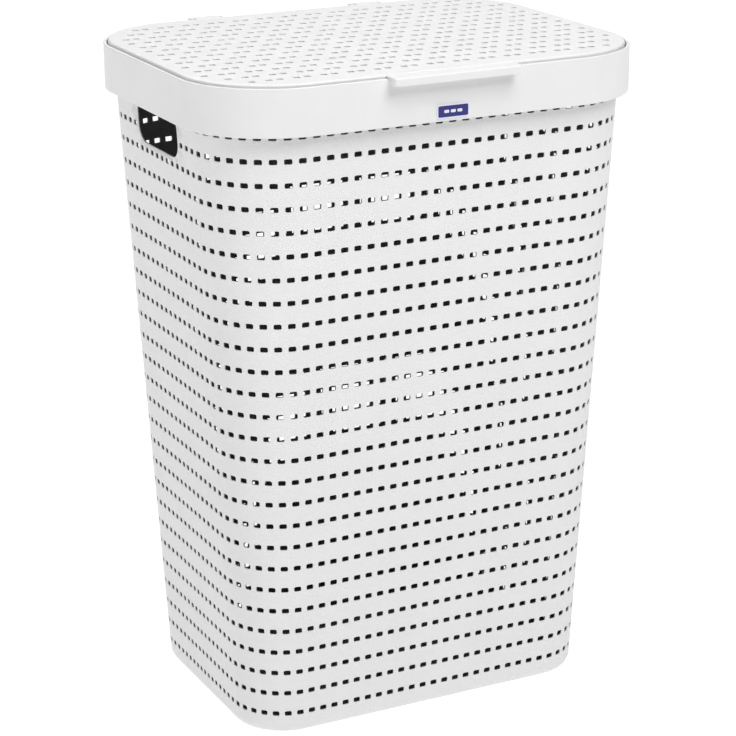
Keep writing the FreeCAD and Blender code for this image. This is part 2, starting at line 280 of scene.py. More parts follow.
def plastic(
    name, colour, roughness, grain_mm, grain_depth, weave_mm=0.0, weave_depth=0.0, inside=None
):
    """Moulded plastic: faint mottling, fine grain, a painted highlight on sharp outward edges, and
    for the basket a weave and painted shade inside.
    """
    material, tree, shader = node_material(name)
    nodes, link = tree.nodes, tree.links.new
    shader.inputs["IOR"].default_value = 1.49
    place = nodes.new("ShaderNodeTexCoord")
    weave_and_depth = nodes.new("ShaderNodeAttribute")
    weave_and_depth.attribute_name = "weave"
    split = nodes.new("ShaderNodeSeparateXYZ")
    link(weave_and_depth.outputs["Vector"], split.inputs["Vector"])

    def noise(size_mm, detail, rough):
        node = nodes.new("ShaderNodeTexNoise")
        node.inputs["Scale"].default_value = 1000 / size_mm
        node.inputs["Detail"].default_value = detail
        node.inputs["Roughness"].default_value = rough
        link(place.outputs["Object"], node.inputs["Vector"])
        return node.outputs["Fac"]

    def spread(value, low, high):
        node = nodes.new("ShaderNodeMapRange")
        node.inputs["From Min"].default_value = 0.3
        node.inputs["From Max"].default_value = 0.7
        node.inputs["To Min"].default_value = low
        node.inputs["To Max"].default_value = high
        link(value, node.inputs["Value"])
        return node.outputs["Result"]

    mottle = nodes.new("ShaderNodeMix")
    mottle.data_type = "RGBA"
    mottle.inputs["A"].default_value = (*[c * 0.965 for c in colour], 1)
    mottle.inputs["B"].default_value = (*colour, 1)
    link(spread(noise(38, 3, 0.55), 0, 1), mottle.inputs["Factor"])

    # painted highlight: sharp outward edges, picked by pointiness, are painted 3% lighter than the
    # rest of the surface
    edge_shape = nodes.new("ShaderNodeNewGeometry")
    edge = nodes.new("ShaderNodeMapRange")
    edge.inputs["From Min"].default_value = 0.52
    edge.inputs["From Max"].default_value = 0.62
    link(edge_shape.outputs["Pointiness"], edge.inputs["Value"])
    edge_highlight = nodes.new("ShaderNodeMix")
    edge_highlight.data_type = "RGBA"
    edge_highlight.inputs["B"].default_value = (*[min(1.0, c * 1.03) for c in colour], 1)
    link(edge.outputs["Result"], edge_highlight.inputs["Factor"])
    link(mottle.outputs["Result"], edge_highlight.inputs["A"])
    finish = edge_highlight.outputs["Result"]
    # painted shade: from 0.3 to 1.3 mm into the wall the colour turns to the dark inside shade, so
    # the vents' depths, the inside wall and the floor are painted dark
    if inside:
        depth = nodes.new("ShaderNodeMapRange")
        depth.interpolation_type = "SMOOTHSTEP"
        depth.inputs["From Min"].default_value = 0.3 * MM
        depth.inputs["From Max"].default_value = 1.3 * MM
        link(split.outputs["Y"], depth.inputs["Value"])
        painted_inside_shade = nodes.new("ShaderNodeMix")
        painted_inside_shade.data_type = "RGBA"
        painted_inside_shade.inputs["B"].default_value = (*inside, 1)
        link(depth.outputs["Result"], painted_inside_shade.inputs["Factor"])
        link(finish, painted_inside_shade.inputs["A"])
        finish = painted_inside_shade.outputs["Result"]
    link(finish, shader.inputs["Base Color"])

    link(spread(noise(9, 4, 0.6), roughness - 0.05, roughness + 0.06), shader.inputs["Roughness"])

    grain = nodes.new("ShaderNodeBump")
    grain.inputs["Strength"].default_value = 1.0
    grain.inputs["Distance"].default_value = grain_depth * MM
    link(noise(grain_mm, 3, 0.6), grain.inputs["Height"])
    normal = grain.outputs["Normal"]
    if weave_mm:
        threads = []
        for axis in ("X", "Z"):
            turn = nodes.new("ShaderNodeMath")
            turn.operation = "MULTIPLY"
            turn.inputs[1].default_value = math.tau / (weave_mm * MM)
            link(split.outputs[axis], turn.inputs[0])
            wave = nodes.new("ShaderNodeMath")
            wave.operation = "COSINE"
            link(turn.outputs["Value"], wave.inputs[0])
            threads.append(wave.outputs["Value"])
        cross = nodes.new("ShaderNodeMath")
        cross.operation = "MULTIPLY"
        link(threads[0], cross.inputs[0])
        link(threads[1], cross.inputs[1])
        cloth = nodes.new("ShaderNodeBump")
        cloth.inputs["Strength"].default_value = 1.0
        cloth.inputs["Distance"].default_value = weave_depth * MM
        link(cross.outputs["Value"], cloth.inputs["Height"])
        link(normal, cloth.inputs["Normal"])
        normal = cloth.outputs["Normal"]
    link(normal, shader.inputs["Normal"])
    return material


def steel():
    """Drawn steel wire: fine lines round the pin and uneven gloss."""
    material, tree, shader = node_material("pin_steel")
    nodes, link = tree.nodes, tree.links.new
    shader.inputs["Metallic"].default_value = 1.0
    place = nodes.new("ShaderNodeTexCoord")
    stretch = nodes.new("ShaderNodeMapping")
    stretch.inputs["Scale"].default_value = (60, 2500, 2500)
    link(place.outputs["Object"], stretch.inputs["Vector"])
    lines = nodes.new("ShaderNodeTexNoise")
    lines.inputs["Scale"].default_value = 1
    lines.inputs["Detail"].default_value = 3
    link(stretch.outputs["Vector"], lines.inputs["Vector"])
    tint = nodes.new("ShaderNodeMix")
    tint.data_type = "RGBA"
    tint.inputs["A"].default_value = (0.42, 0.42, 0.43, 1)
    tint.inputs["B"].default_value = (0.62, 0.62, 0.61, 1)
    link(lines.outputs["Fac"], tint.inputs["Factor"])
    link(tint.outputs["Result"], shader.inputs["Base Color"])
    gloss = nodes.new("ShaderNodeMapRange")
    gloss.inputs["To Min"].default_value = 0.24
    gloss.inputs["To Max"].default_value = 0.42
    link(lines.outputs["Fac"], gloss.inputs["Value"])
    link(gloss.outputs["Result"], shader.inputs["Roughness"])
    bump = nodes.new("ShaderNodeBump")
    bump.inputs["Distance"].default_value = 0.02 * MM
    link(lines.outputs["Fac"], bump.inputs["Height"])
    link(bump.outputs["Normal"], shader.inputs["Normal"])
    return material


WHITE = (0.86, 0.86, 0.865)
LID_WHITE = (0.84, 0.84, 0.845)
# painted shade: this dark grey is painted on the basket's inside wall, vents and floor in place of
# the shade there; the plastic itself is most likely white throughout
INSIDE_SHADE = (0.10, 0.10, 0.104)
basket_plastic = plastic(
    "basket_plastic", WHITE, 0.46, 3.0, 0.14, weave_mm=2.4, weave_depth=0.06, inside=INSIDE_SHADE
)
lid_plastic = plastic("lid_plastic", LID_WHITE, 0.40, 0.7, 0.018)
badge_blue = plastic("badge_blue", (0.024, 0.022, 0.20), 0.42, 0.5, 0.008)
badge_pale = plastic("badge_pale", (0.78, 0.79, 0.85), 0.34, 0.5, 0.008)
pin_steel = steel()

# ---------------------------------------------------------------- basket

WALL_LOW, WALL_HIGH = 6.0, 565.0        # heights between which the wall tapers
BASE = (166.3, 116.3, 47.0)             # half width, half depth and corner radius at WALL_LOW
RIM = (195.7, 149.0, 72.0)              # and at WALL_HIGH
WALL_THICK = 2.0
COLUMNS = 26                            # vent columns in each quarter
ROW_PITCH = 19.8
TOP_ROW = 513.5                         # height of the first row wholly below the collar
ROWS = range(-1, 26)
EVEN_COLUMNS = 12.5                     # columns of one pitch, from the middle of the front
FRONT_PITCH = (12.17, 10.86)            # at the top row and at the bottom one
VENT = (3.35, 2.2, 1.2)                 # half width at the widest pitch, half height, corner radius
VENT_EDGE = 0.3
GRIP_Z = (500.0, 538.0)
GRIP_HALF = 43.5
GRIP_CORNER = 14.0
GRIP_COLUMNS = 4                        # columns without vents, each side of a hand hole's middle
PATCH_COLUMNS = 5                       # columns to each side in the patch round a hand hole
PATCH_ROWS = (-1, 0, 1)                 # rows in that patch
FLANGE_THICK = 2.4
FLANGE_ROUND = 0.6
FLANGE_STRAIGHT = 122.0                 # half the straight part of the flange's long side
FLOOR_TOP = 3.0


def wall_size(z):
    """Half width, half depth and corner radius of the outside wall at a height."""
    t = (z - WALL_LOW) / (WALL_HIGH - WALL_LOW)
    return [low + (high - low) * t for low, high in zip(BASE, RIM)]


def quarter_length(size):
    a, b, r = size
    return (a - r) + (b - r) + r * QUARTER_TURN


def column_place(column, z):
    """Distance round the wall, from the middle of the front, of a column number in 0 to 104."""
    quarter = quarter_length(wall_size(z))
    turn, part = divmod(column, COLUMNS)
    if turn % 2:
        part = COLUMNS - part
    down = (TOP_ROW - z) / (ROW_PITCH * ROWS[-1])
    pitch = FRONT_PITCH[0] + (FRONT_PITCH[1] - FRONT_PITCH[0]) * down
    s = part * pitch
    if part > EVEN_COLUMNS:             # the pitch eases so that the columns fill the quarter
        over = (part - EVEN_COLUMNS) / (COLUMNS - EVEN_COLUMNS)
        s -= (COLUMNS * pitch - quarter) * over**2
    return (turn + 1) * quarter - s if turn % 2 else turn * quarter + s


def on_outline(size, s):
    """Plan place and outward normal at a distance round a rounded rectangle from its front."""
    a, b, r = size
    quarter = quarter_length(size)
    turn = min(int(s // quarter), 3) if s < 4 * quarter else 3
    t = s - turn * quarter
    if turn % 2:
        t = quarter - t
    if t <= a - r:
        x, y, nx, ny = t, -b, 0.0, -1.0
    elif t <= a - r + r * QUARTER_TURN:
        angle = (t - (a - r)) / r
        nx, ny = math.sin(angle), -math.cos(angle)
        x, y = a - r + r * nx, -(b - r) + r * ny
    else:
        x, y, nx, ny = a, -(quarter - t), 1.0, 0.0
    if turn in (1, 2):
        y, ny = -y, -ny
    if turn in (2, 3):
        x, nx = -x, -nx
    return x, y, nx, ny


def on_wall(s, z, depth=0.0):
    """Point, surface normal and weave place on the wall at a height, a depth into it."""
    x, y, nx, ny = on_outline(wall_size(z), s)
    slopes = [(high - low) / (WALL_HIGH - WALL_LOW) for low, high in zip(BASE, RIM)]
    lean = abs(nx) * (slopes[0] - slopes[2]) + abs(ny) * (slopes[1] - slopes[2]) + slopes[2]
    around = min(s, 4 * quarter_length(wall_size(z)) - s)
    # the weave place's middle number is the depth into the wall, which sets where the material
    # paints the inside shade
    return (x - depth * nx, y - depth * ny, z), (nx, ny, -lean), (around, depth, z)


def row_height(row):
    return TOP_ROW - ROW_PITCH * row


def grid_corner(shell, side, column, row_line):
    """A corner of the cells. row_line counts cell boundaries down, side is outer or inner."""
    column %= 4 * COLUMNS
    z = row_height(row_line - 1.5)
    depth = WALL_THICK if side == "inner" else 0.0
    place, normal, cloth = on_wall(column_place(column, z), z, depth)
    index = shell.point((side, column, row_line), lambda: (place, cloth))
    return index, normal if side == "outer" else tuple(-n for n in normal)


def vent_rings(shell, column, row):
    """The rings of one vent: on the outside, past its rounded edge, and plain on the inside."""
    z0 = row_height(row)
    half_w, half_h, corner = VENT
    half_w *= (column_place(column + 1, z0) - column_place(column, z0)) / FRONT_PITCH[0]
    rounded = [
        rounded_outline(half_w + grow, half_h + grow, corner + grow, 2) for grow in (VENT_EDGE, 0.0)
    ]
    signs = ((1, 1), (-1, 1), (-1, -1), (1, -1))
    plain = [((sx * half_w, sz * half_h), (sx, sz)) for sx, sz in signs]
    rings = []
    for name, outline, depth in (
        ("face", rounded[0], 0.0),
        ("edge", rounded[1], VENT_EDGE),
        ("back", plain, WALL_THICK),
    ):
        ring = []
        for i, ((dx, dz), (nx, nz)) in enumerate(outline):
            z = z0 + dz
            s = column_place(column + 0.5, z) + dx
            place, normal, cloth = on_wall(s, z, depth)
            index = shell.point((name, column, row, i), lambda: (place, cloth))
            tangent = (-normal[1], normal[0])
            inward = (-nx * tangent[0], -nx * tangent[1], -nz)
            ring.append((index, normal, inward))
        rings.append(ring)
    return rings


def vent_walls(shell, rings):
    """The rounded edge and the walls of a vent through the basket's wall."""
    face, edge, back = rings
    count = len(face)
    for i in range(count):
        k = (i + 1) % count
        shell.face(
            [face[i][0], face[k][0], edge[k][0], edge[i][0]],
            [face[i][1], face[k][1], edge[k][2], edge[i][2]],
        )
    for corner in range(4):
        a, b, c = (edge[3 * corner + n] for n in range(3))
        d = edge[(3 * corner + 3) % 12]
        p, q = back[corner], back[(corner + 1) % 4]
        shell.face([a[0], b[0], p[0]], [a[2], b[2], b[2]])
        shell.face([b[0], c[0], p[0]], [b[2], c[2], b[2]])
        shell.face([c[0], d[0], q[0], p[0]], [c[2], d[2], d[2], c[2]])


def cell_faces(shell, side, column, row, ring):
    """The wall round one vent, out to the corners of its cell."""
    line = row + 1
    order = [(column + 1, line), (column, line), (column, line + 1), (column + 1, line + 1)]
    corners = [grid_corner(shell, side, c, r) for c, r in order]
    flip = side == "inner"
    step = len(ring) // 4

    def add(parts):
        if flip:
            parts = parts[::-1]
        shell.face([p[0] for p in parts], [p[1] for p in parts])

    around = [(p[0], tuple(-n for n in p[1]) if flip else p[1]) for p in ring]
    for k in range(4):
        arc = [around[k * step + n] for n in range(step)]
        for a, b in zip(arc, arc[1:]):
            add([corners[k], b, a])
        add([corners[k], corners[(k + 1) % 4], around[(k + 1) * step % len(ring)], arc[-1]])


def grip_ring(shell, name, side, grow, depth, normal_of):
    """A ring round a hand hole, wider than it by grow, a depth into the wall."""
    z0, z1 = GRIP_Z
    outline = rounded_outline(GRIP_HALF + grow, (z1 - z0) / 2 + grow, GRIP_CORNER + grow, 8)
    ring = []
    for i, ((along, dz), (nh, nz)) in enumerate(outline):
        z = (z0 + z1) / 2 + dz
        place = (side * (wall_size(z)[0] - depth), side * along, z)
        index = shell.point((name, side, i), lambda: (place, (place[1], depth, z)))
        ring.append((index, normal_of(nh, nz)))
    return ring


def grip_patch(shell, side):
    """The wall round one hand hole, and the hole with its rounded outside edge."""
    middle = COLUMNS if side > 0 else 3 * COLUMNS
    first, last = middle - PATCH_COLUMNS, middle + PATCH_COLUMNS
    top_line, bottom_line = PATCH_ROWS[0] + 1, PATCH_ROWS[-1] + 2
    lean = (RIM[0] - BASE[0]) / (WALL_HIGH - WALL_LOW)

    border = [(c, bottom_line) for c in range(first, last)]
    border += [(last, r) for r in range(bottom_line, top_line, -1)]
    border += [(c, top_line) for c in range(last, first, -1)]
    border += [(first, r) for r in range(top_line, bottom_line)]

    vents = [
        vent_rings(shell, column, row)
        for row in PATCH_ROWS
        for column in range(first, last)
        if row == PATCH_ROWS[-1] or abs(column + 0.5 - middle) > GRIP_COLUMNS
    ]
    for rings in vents:
        vent_walls(shell, rings)

    def flat(surface, hole, which):
        """Triangulates the flat wall between the patch's border, its vents and the hand hole."""
        sign = 1 if surface == "outer" else -1
        wall_normal = (sign * side, 0, -sign * lean)
        loops = [[grid_corner(shell, surface, c, r)[0] for c, r in border]]
        loops.append([p[0] for p in hole])
        loops.extend([p[0] for p in rings[which]] for rings in vents)
        places = [[(side * shell.points[i][1], shell.points[i][2]) for i in loop] for loop in loops]
        joined = [i for loop in loops for i in loop]
        for tri in triangles(places):
            corners = [joined[i] for i in tri]
            if sign < 0:
                corners.reverse()
            shell.face(corners, [wall_normal] * 3)

    edge, inner_edge = 0.8, 0.4
    rings = []
    for step in range(4):               # rounded outside edge
        angle = step / 3 * QUARTER_TURN
        c, s = math.cos(angle), math.sin(angle)
        rings.append(
            grip_ring(
                shell,
                "grip_out%d" % step,
                side,
                edge * (1 - s),
                edge * (1 - c),
                lambda nh, nz: (side * c, -side * nh * s, -nz * s),
            )
        )
    for step in range(3):               # and inside edge
        angle = step / 2 * QUARTER_TURN
        c, s = math.cos(angle), math.sin(angle)
        rings.append(
            grip_ring(
                shell,
                "grip_in%d" % step,
                side,
                inner_edge * (1 - c),
                WALL_THICK - inner_edge * (1 - s),
                lambda nh, nz: (-side * s, -side * nh * c, -nz * c),
            )
        )
    for near, far in zip(rings, rings[1:]):
        for i in range(len(near)):
            k = (i + 1) % len(near)
            quad = [near[i], near[k], far[k], far[i]]
            shell.face([q[0] for q in quad], [q[1] for q in quad])
    flat("outer", rings[0], 0)
    flat("inner", rings[-1], 2)


def wall_band(shell, side, rows):
    """Quads between rings of wall points. Each row is a list of (index, normal)."""
    for upper, lower in zip(rows, rows[1:]):
        for i in range(len(upper)):
            k = (i + 1) % len(upper)
            quad = [upper[i], lower[i], lower[k], upper[k]]
            if side == "inner":
                quad.reverse()
            shell.face([q[0] for q in quad], [q[1] for q in quad])


def basket_ring(shell, name, size, z, out, up, depth=0.0):
    """One ring of points at the column lines on a rounded rectangle of any size."""
    ring = []
    wall = wall_size(min(max(z, WALL_LOW), WALL_HIGH))
    scale = quarter_length(size) / quarter_length(wall)
    for column in range(4 * COLUMNS):
        s = column_place(column, min(max(z, WALL_LOW), WALL_HIGH)) * scale
        x, y, nx, ny = on_outline(size, s)
        around = min(s, 4 * quarter_length(size) - s)
        index = shell.point((name, column), lambda: ((x, y, z), (around, depth, z)))
        ring.append((index, (out * nx, out * ny, up)))
    return ring


def make_basket():
    """The basket in one shell: cells with vents, hand holes, rim flange, foot and floor."""
    shell = Shell()
    grips = {middle: set() for middle in (COLUMNS, 3 * COLUMNS)}
    patch = {
        (middle + n, row)
        for middle in grips
        for n in range(-PATCH_COLUMNS, PATCH_COLUMNS)
        for row in PATCH_ROWS
    }
    for row in ROWS:
        for column in range(4 * COLUMNS):
            if (column, row) in patch:
                continue
            rings = vent_rings(shell, column, row)
            vent_walls(shell, rings)
            cell_faces(shell, "outer", column, row, rings[0])
            cell_faces(shell, "inner", column, row, rings[2])
    for side in (1, -1):
        grip_patch(shell, side)

    def sized(z, inset):
        return [c - inset for c in wall_size(z)]

    columns = range(4 * COLUMNS)
    top_line, bottom_line = ROWS[0] + 1, ROWS[-1] + 2
    under = WALL_HIGH - FLANGE_THICK
    flange = (BASKET_HIGH[0], BASKET_HIGH[1], BASKET_HIGH[0] - FLANGE_STRAIGHT)
    flange_face = [c - FLANGE_ROUND for c in flange]
    mouth = sized(WALL_HIGH, WALL_THICK - FLANGE_ROUND)
    mouth_in = sized(WALL_HIGH, WALL_THICK)

    # outside: from the top row of cells up to the flange, round it and down the inside
    outside = [[grid_corner(shell, "outer", c, top_line) for c in columns]]
    for name, *ring in (                # size, height, normal outwards and up, depth into the wall
        ("neck", sized(under - 1.2, 0), under - 1.2, 1, -0.055),
        ("neck_top", sized(under, -0.8), under, 0.3, -1),
        ("flange_low", flange_face, under, 0, -1),
        ("flange_side", flange, under + FLANGE_ROUND, 1, 0),
        ("flange_top", flange, WALL_HIGH - FLANGE_ROUND, 1, 0),
        ("flange_over", flange_face, WALL_HIGH, 0, 1),
        ("mouth", mouth, WALL_HIGH, 0, 1),
        ("mouth_in", mouth_in, WALL_HIGH - FLANGE_ROUND, -1, 0, WALL_THICK),
    ):
        outside.insert(0, basket_ring(shell, name, *ring))
    outside.insert(0, [grid_corner(shell, "inner", c, top_line) for c in columns])
    wall_band(shell, "outer", outside)

    # from the bottom row of cells round the foot to the underside, and inside down to the floor
    foot = [[grid_corner(shell, "outer", c, bottom_line) for c in columns]]
    for z, inset, out, up in (          # height, inset, normal outwards and up
        (6.6, 0.0, 1, -0.06),
        (5.2, 0.35, 0.97, -0.24),
        (3.2, 1.15, 0.9, -0.42),
        (1.4, 2.05, 0.86, -0.5),
        (0.5, 2.7, 0.7, -0.71),
        (0.0, 3.6, 0, -1),
    ):
        size = [c - inset for c in wall_size(max(z, WALL_LOW))]
        foot.append(basket_ring(shell, "foot%.1f" % z, size, z, out, up))
    wall_band(shell, "outer", foot)
    underside = [p[0] for p in foot[-1]]
    shell.face(underside[::-1], [(0, 0, -1)] * len(underside))

    floor = [[grid_corner(shell, "inner", c, bottom_line) for c in columns]]
    for z, inset, out, up in (
        (7.0, 2.0, -1, 0.1),
        (5.2, 2.5, -0.9, 0.42),
        (4.0, 3.4, -0.6, 0.8),
        (3.3, 4.8, -0.25, 0.97),
        (FLOOR_TOP, 6.6, 0, 1),
    ):
        size = [c - inset for c in wall_size(max(z, WALL_LOW))]
        floor.append(basket_ring(shell, "floor%.1f" % z, size, z, out, up, WALL_THICK))
    wall_band(shell, "inner", floor)
    inside = [p[0] for p in floor[-1]]
    shell.face(inside, [(0, 0, 1)] * len(inside))
    piece = shell.build("basket_shell", basket_plastic, "basket_and_collar")
    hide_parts("basket")


# ---------------------------------------------------------------- collar

COLLAR_SIZE = (COLLAR_HIGH[0], -COLLAR_LOW[1], 82.0)
SKIRT_BOTTOM, SKIRT_TOP = COLLAR_LOW[2], 574.5
LEDGE_TOP, LEDGE_THICK = 567.2, 2.2
COLLAR_WALL = 2.4
LEDGE_INSET = 14.8
LIP_BOTTOM = 548.0
CORNER_STEPS = 24


def make_collar():
    """The collar: its cross-section swept round."""
    shell = Shell()
    lip = LEDGE_INSET - COLLAR_WALL
    path = rounded_profile(
        [
            (0, SKIRT_BOTTOM, 0.8),
            (0, SKIRT_TOP, 0.8),
            (COLLAR_WALL, SKIRT_TOP, 0.7),
            (COLLAR_WALL, LEDGE_TOP, 0.5),
            (LEDGE_INSET, LEDGE_TOP, 0.7),
            (LEDGE_INSET, LIP_BOTTOM, 0.6),
            (lip, LIP_BOTTOM, 0.6),
            (lip, LEDGE_TOP - LEDGE_THICK, 0.5),
            (COLLAR_WALL, LEDGE_TOP - LEDGE_THICK, 0.5),
            (COLLAR_WALL, SKIRT_BOTTOM, 0.8),
        ],
        3,
    )
    sweep(shell, "collar", *COLLAR_SIZE, path, CORNER_STEPS)
    piece = shell.build("collar_band", lid_plastic, "basket_and_collar")
    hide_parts("lid_collar")


# ---------------------------------------------------------------- flap

FLAP_INSET = 4.2
FLAP_SIZE = tuple(c - FLAP_INSET for c in COLLAR_SIZE)
FLAP_TOP, FLAP_BOTTOM = FLAP_HIGH[2], 567.6
FLAP_THICK = 2.4
FLAP_RIM_WALL = 2.4
FLAP_BORDER = 6.0                       # the panel is swept this far in from its edge
FLAP_ROUND = 1.6
SLOT = (2.9, 3.1, 1.2)                  # half size across and along the flap, and corner radius
SLOT_EDGE = 0.35
SLOT_APART = 9.3                        # between the middles of the two slots of a pair
SLOT_PITCH = (23.9, 19.7)               # between pairs and between rows
SLOT_MARGIN = 7.5
SLOT_ROWS, SLOT_PAIRS = range(-8, 8), range(-10, 11)


def slot_places():
    """Middles of the flap's slots: pairs in staggered rows, clear of the flap's edge."""
    half_x, half_y, corner = (c - SLOT_MARGIN for c in FLAP_SIZE)
    places = []
    for row in SLOT_ROWS:
        y = (row + 0.5) * SLOT_PITCH[1]
        shift = 0.5 if row % 2 == 0 else 0.0
        for pair in SLOT_PAIRS:
            for member in (-0.5, 0.5):
                x = (pair + shift) * SLOT_PITCH[0] + member * SLOT_APART
                if inside_rounded(abs(x) + SLOT[0], abs(y) + SLOT[1], half_x, half_y, corner):
                    places.append((x, y))
    return places


def inside_rounded(x, y, half_x, half_y, corner):
    """Whether a point with x and y above 0 is in a rounded rectangle."""
    over_x, over_y = x - (half_x - corner), y - (half_y - corner)
    if over_x > 0 and over_y > 0:
        return math.hypot(over_x, over_y) <= corner
    return over_x <= corner and over_y <= corner


def make_flap():
    """The panel: a swept edge with a turned-down rim, and top and bottom faces round the slots."""
    shell = Shell()
    under = FLAP_TOP - FLAP_THICK
    path = rounded_profile(
        [
            (FLAP_BORDER, under, 0),
            (FLAP_RIM_WALL, under, 0.8),
            (FLAP_RIM_WALL, FLAP_BOTTOM, 0.6),
            (0, FLAP_BOTTOM, 0.6),
            (0, FLAP_TOP, FLAP_ROUND),
            (FLAP_BORDER, FLAP_TOP, 0),
        ],
        4,
        closed=False,
    )
    rows = sweep(shell, "flap", *FLAP_SIZE, path, CORNER_STEPS, closed=False)
    slots = []
    for number, (x0, y0) in enumerate(slot_places()):
        rings = []
        for name, grow, z in (
            ("top", SLOT_EDGE, FLAP_TOP),
            ("edge", 0.0, FLAP_TOP - SLOT_EDGE),
            ("bottom", 0.0, under),
        ):
            ring = []
            outline = rounded_outline(SLOT[0] + grow, SLOT[1] + grow, SLOT[2] + grow, 3)
            for i, ((dx, dy), (nx, ny)) in enumerate(outline):
                place = (x0 + dx, y0 + dy, z)
                index = shell.point((name, number, i), lambda: (place, place))
                ring.append((index, (-nx, -ny, 0)))
            rings.append(ring)
        slots.append(rings)
        top, edge, bottom = rings
        for i in range(len(top)):
            k = (i + 1) % len(top)
            shell.face(
                [top[i][0], top[k][0], edge[k][0], edge[i][0]],
                [(0, 0, 1), (0, 0, 1), edge[k][1], edge[i][1]],
            )
            shell.face(
                [edge[i][0], edge[k][0], bottom[k][0], bottom[i][0]],
                [edge[i][1], edge[k][1], bottom[k][1], bottom[i][1]],
            )
    for border, which, up in ((rows[-1], 0, 1), (rows[0], 2, -1)):
        loops = [[p[0] for p in border]] + [[p[0] for p in rings[which]] for rings in slots]
        joined = [i for loop in loops for i in loop]
        for tri in triangles([[shell.points[i][:2] for i in loop] for loop in loops]):
            corners = [joined[i] for i in tri]
            if up < 0:
                corners.reverse()
            shell.face(corners, [(0, 0, up)] * 3)
    piece = shell.build("flap_panel", lid_plastic, "flap")
    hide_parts("lid_flap")


TAB_HALF, TAB_CORNER = 58.0, 3.0        # half width, and corner radius in plan
TAB_ROOT = 4.2                          # how far the tab reaches into the panel
TAB_SUNK = 0.3                          # its top is this much below the panel's
TAB_BOTTOM = 570.0
TAB_LIP = 2.6
TONGUE_THICK = 2.1                      # from the flap's top to the underside of tab and tongues


def make_tab():
    """The finger tab: a strip over the collar's front edge with a turned-down lip."""
    reach = FLAP_LOW[1]
    root = -(COLLAR_SIZE[1] - FLAP_INSET - TAB_ROOT)
    top, under = FLAP_TOP - TAB_SUNK, FLAP_TOP - TONGUE_THICK

    def shape(x):
        over = max(0.0, abs(x) - (TAB_HALF - TAB_CORNER))
        back = TAB_CORNER - math.sqrt(TAB_CORNER**2 - min(over, TAB_CORNER) ** 2)
        corners = [
            (reach + back, TAB_BOTTOM, 0.6),
            (reach + back, top, 1.4),
            (root, top, 0.45),
            (root, under, 0.45),
            (reach + back + TAB_LIP, under, 0.6),
            (reach + back + TAB_LIP, TAB_BOTTOM, 0.6),
        ]
        return [[place for place, _ in rounded_profile(corners, 4)]]

    turns = [n / 8 * QUARTER_TURN for n in range(8)]
    ends = [TAB_HALF - TAB_CORNER + TAB_CORNER * math.sin(t) for t in turns]
    between = [-x for x in reversed(ends)] + ends
    bm = bmesh.new()
    side_solid(bm, shape, -TAB_HALF, TAB_HALF, 0.4, between)
    piece = solid_piece("flap_tab", bm, lid_plastic, "flap")


# ---------------------------------------------------------------- hinges

HINGE_SPACING = 160.0
KNUCKLE_WIDTH = 22.0
KNUCKLE_GAP = 0.4
KNUCKLE_ROUND = 4.0
LUG_THICK = 4.0
LUG_ROUND = 3.8
PIN_ROUND = 2.0
HINGE_EDGE = 0.35                       # rounding at the ends of knuckles and lugs


def arc(radius, start, end, steps):
    """Points round the hinge axis in side view, between two angles in degrees."""
    turns = [math.radians(start + (end - start) * n / steps) for n in range(steps + 1)]
    return [(HINGE[1] + radius * math.cos(t), HINGE[2] + radius * math.sin(t)) for t in turns]


def bore(clearance):
    """A hole loop for a pin, a clearance wider than it."""
    return arc(PIN_ROUND + clearance, 0, 360 * 27 / 28, 27)


def make_hinges():
    """Two knuckles on the flap's back edge, and the collar's pairs of lugs for their pins."""
    under = FLAP_TOP - TONGUE_THICK
    root = COLLAR_SIZE[1] - FLAP_INSET - KNUCKLE_ROUND
    throat = 180 - math.degrees(math.asin((under - HINGE[2]) / KNUCKLE_ROUND))
    # the tongue leaves the panel's top where its edge starts to round, and is sunk before that
    leaves = COLLAR_SIZE[1] - FLAP_INSET - 1.5
    tongue = [(root, under), (root, FLAP_TOP - 1.0), (leaves, FLAP_TOP)]
    tongue += arc(KNUCKLE_ROUND, 90, throat - 360, 26)
    base = COLLAR_SIZE[1] - COLLAR_WALL / 2
    toe = HINGE[2] - LUG_ROUND * math.sqrt(2) - (HINGE[1] - base)
    lug = [(base, toe), (base, HINGE[2] + LUG_ROUND)] + arc(LUG_ROUND, 90, -45, 12)
    knuckle_loops = [tongue, bore(0.06)]
    lug_loops = [lug, bore(0.01)]
    for side, name in ((-1, "left"), (1, "right")):
        middle = side * HINGE_SPACING / 2
        half = KNUCKLE_WIDTH / 2
        bm = bmesh.new()
        side_solid(bm, lambda x: knuckle_loops, middle - half, middle + half, HINGE_EDGE)
        piece = solid_piece("flap_knuckle_" + name, bm, lid_plastic, "flap")
        bm = bmesh.new()
        for offset in (-1, 1):
            centre = middle + offset * (half + KNUCKLE_GAP + LUG_THICK / 2)
            x0, x1 = centre - LUG_THICK / 2, centre + LUG_THICK / 2
            side_solid(bm, lambda x: lug_loops, x0, x1, HINGE_EDGE)
        piece = solid_piece("collar_lugs_" + name, bm, lid_plastic, "basket_and_collar")


# ---------------------------------------------------------------- badge

BADGE_CORNER = 2.2
BADGE_SUNK = 0.15                       # the plate's face is this far behind the edge's
DASH_HALF, DASH_CORNER, DASH_APART = (2.2, 1.25), 0.7, 6.0


def front_prism(bm, outline, y0, y1):
    """Adds a solid whose front view is an outline of (x, z), between two y values."""
    near = [bm.verts.new((x, y0, z)) for x, z in outline]
    far = [bm.verts.new((x, y1, z)) for x, z in outline]
    bm.faces.new(near)
    bm.faces.new(far[::-1])
    for i in range(len(outline)):
        k = (i + 1) % len(outline)
        bm.faces.new([near[i], far[i], far[k], near[k]])


